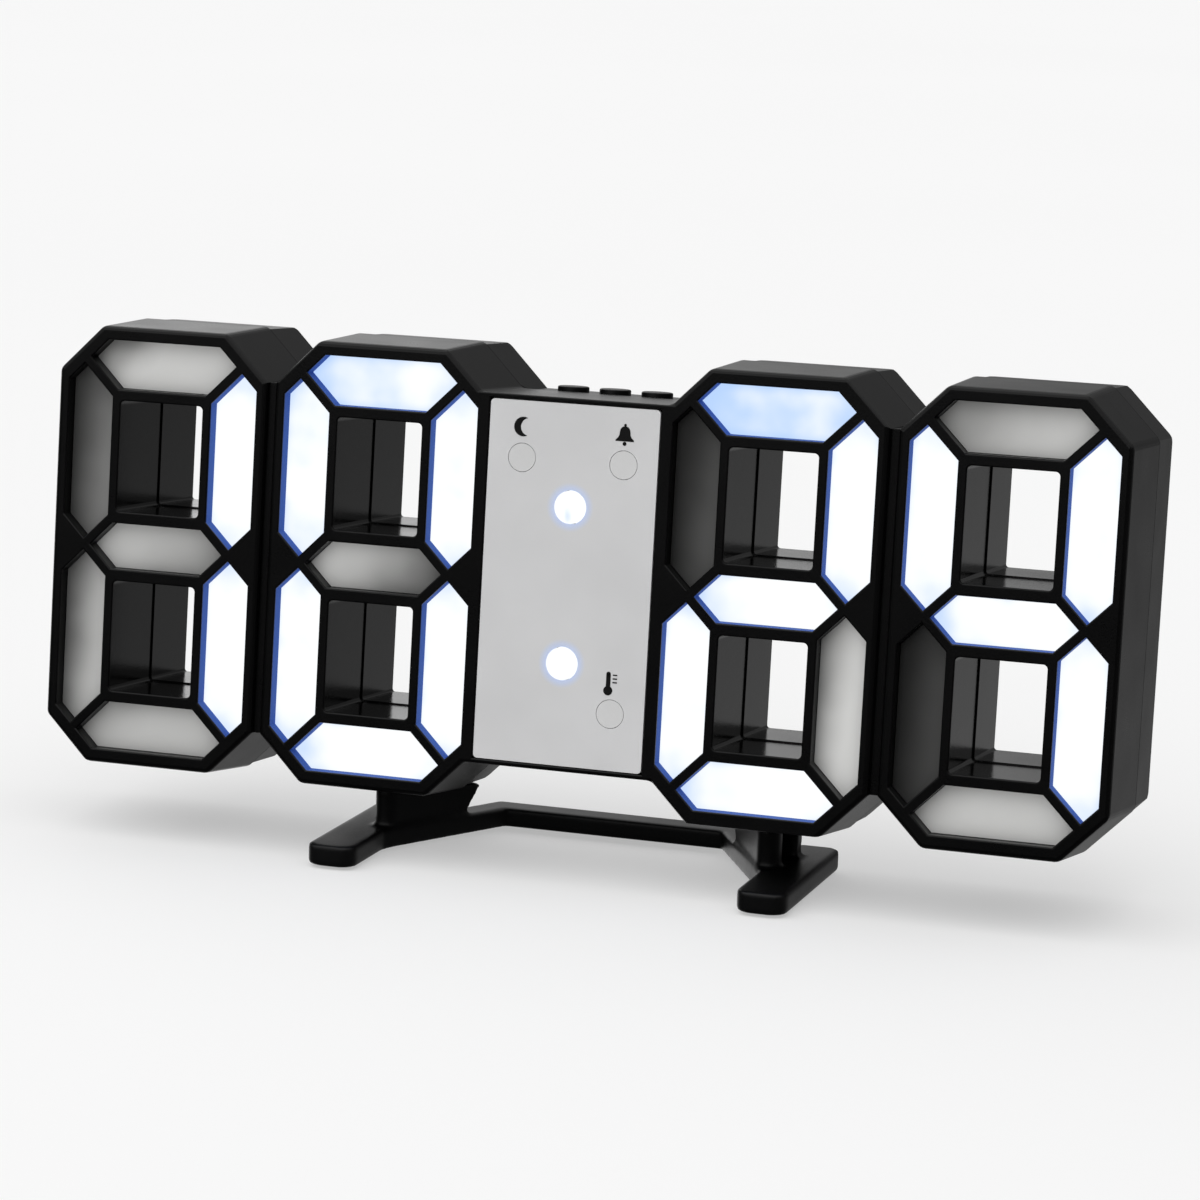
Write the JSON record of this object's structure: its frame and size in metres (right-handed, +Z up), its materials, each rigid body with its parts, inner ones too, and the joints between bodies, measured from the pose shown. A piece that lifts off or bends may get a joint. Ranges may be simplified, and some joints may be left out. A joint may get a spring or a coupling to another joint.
{
  "type": "three-dimensional led clock",
  "caption": "Desk clock of open figure-eight LED digits with see-through windows, a grey centre panel with a colon, top push buttons and a plug-in stand.",
  "frame": {"origin": "middle of the bounding box on the floor", "axes": "+X to the viewer's right along the row of digits, the display faces -Y, +Z up"},
  "size_m": [0.2172, 0.0516, 0.1011],
  "materials": {
    "black_plastic": "satin black moulded plastic",
    "grey_panel": "matt light grey plastic",
    "lit_lens": "milky diffuser, lit cold white",
    "dark_lens": "milky diffuser, unlit",
    "circuit_board": "solder mask on laminate",
    "led_resin": "surface mount LEDs",
    "chip_resin": "black moulded parts",
    "tin_can": "tinned shell",
    "cell_steel": "nickelled steel",
    "screw_steel": "zinc plated",
    "foot_rubber": "soft black pads"
  },
  "bodies": {
    "stand_body": {"stand": "black_plastic", "foot_pads": "foot_rubber"},
    "clock": {"front_housing": "black_plastic", "rear_cover": "black_plastic", "centre_panel": "grey_panel", "colon_lenses": "lit_lens", "indicator_lenses": "grey_panel", "digit1_lens_top": "dark_lens", "digit1_lens_upper_right": "lit_lens", "digit1_lens_lower_right": "lit_lens", "digit1_lens_bottom": "dark_lens", "digit1_lens_lower_left": "dark_lens", "digit1_lens_upper_left": "dark_lens", "digit1_lens_middle": "dark_lens", "digit2_lens_top": "lit_lens", "digit2_lens_upper_right": "lit_lens", "digit2_lens_lower_right": "lit_lens", "digit2_lens_bottom": "lit_lens", "digit2_lens_lower_left": "lit_lens", "digit2_lens_upper_left": "lit_lens", "digit2_lens_middle": "dark_lens", "digit3_lens_top": "lit_lens", "digit3_lens_upper_right": "lit_lens", "digit3_lens_lower_right": "dark_lens", "digit3_lens_bottom": "lit_lens", "digit3_lens_lower_left": "lit_lens", "digit3_lens_upper_left": "dark_lens", "digit3_lens_middle": "lit_lens", "digit4_lens_top": "dark_lens", "digit4_lens_upper_right": "lit_lens", "digit4_lens_lower_right": "lit_lens", "digit4_lens_bottom": "dark_lens", "digit4_lens_lower_left": "dark_lens", "digit4_lens_upper_left": "lit_lens", "digit4_lens_middle": "lit_lens", "led_board": "circuit_board", "leds": "led_resin", "controller_chip": "chip_resin", "crystal": "tin_can", "buzzer": "chip_resin", "temperature_sensor": "chip_resin", "power_socket": "tin_can", "cell_holder": "chip_resin", "coin_cell": "cell_steel", "key_board": "circuit_board", "key_switches": "chip_resin", "housing_screws": "screw_steel", "board_screws": "screw_steel"},
    "cell_cover": {"cell_door": "black_plastic"},
    "left_key": {"button_left": "black_plastic", "key_plunger_left": "chip_resin"},
    "middle_key": {"button_middle": "black_plastic", "key_plunger_middle": "chip_resin"},
    "right_key": {"button_right": "black_plastic", "key_plunger_right": "chip_resin"}
  },
  "joints": [
    {"name": "clock_lift", "type": "slide", "parent": "stand_body", "child": "clock", "axis": [0, 0.0872, 0.9962], "range_m": [0, 0.02]},
    {"name": "cell_door_lift", "type": "slide", "parent": "clock", "child": "cell_cover", "axis": [0, 0.9962, -0.0872], "range_m": [0, 0.015]},
    {"name": "left_button_press", "type": "slide", "parent": "clock", "child": "left_key", "axis": [0, -0.0872, -0.9962], "range_m": [0, 0.0007], "stiffness_N_per_m": 600},
    {"name": "middle_button_press", "type": "slide", "parent": "clock", "child": "middle_key", "axis": [0, -0.0872, -0.9962], "range_m": [0, 0.0007], "stiffness_N_per_m": 600},
    {"name": "right_button_press", "type": "slide", "parent": "clock", "child": "right_key", "axis": [0, -0.0872, -0.9962], "range_m": [0, 0.0007], "stiffness_N_per_m": 600}
  ]
}
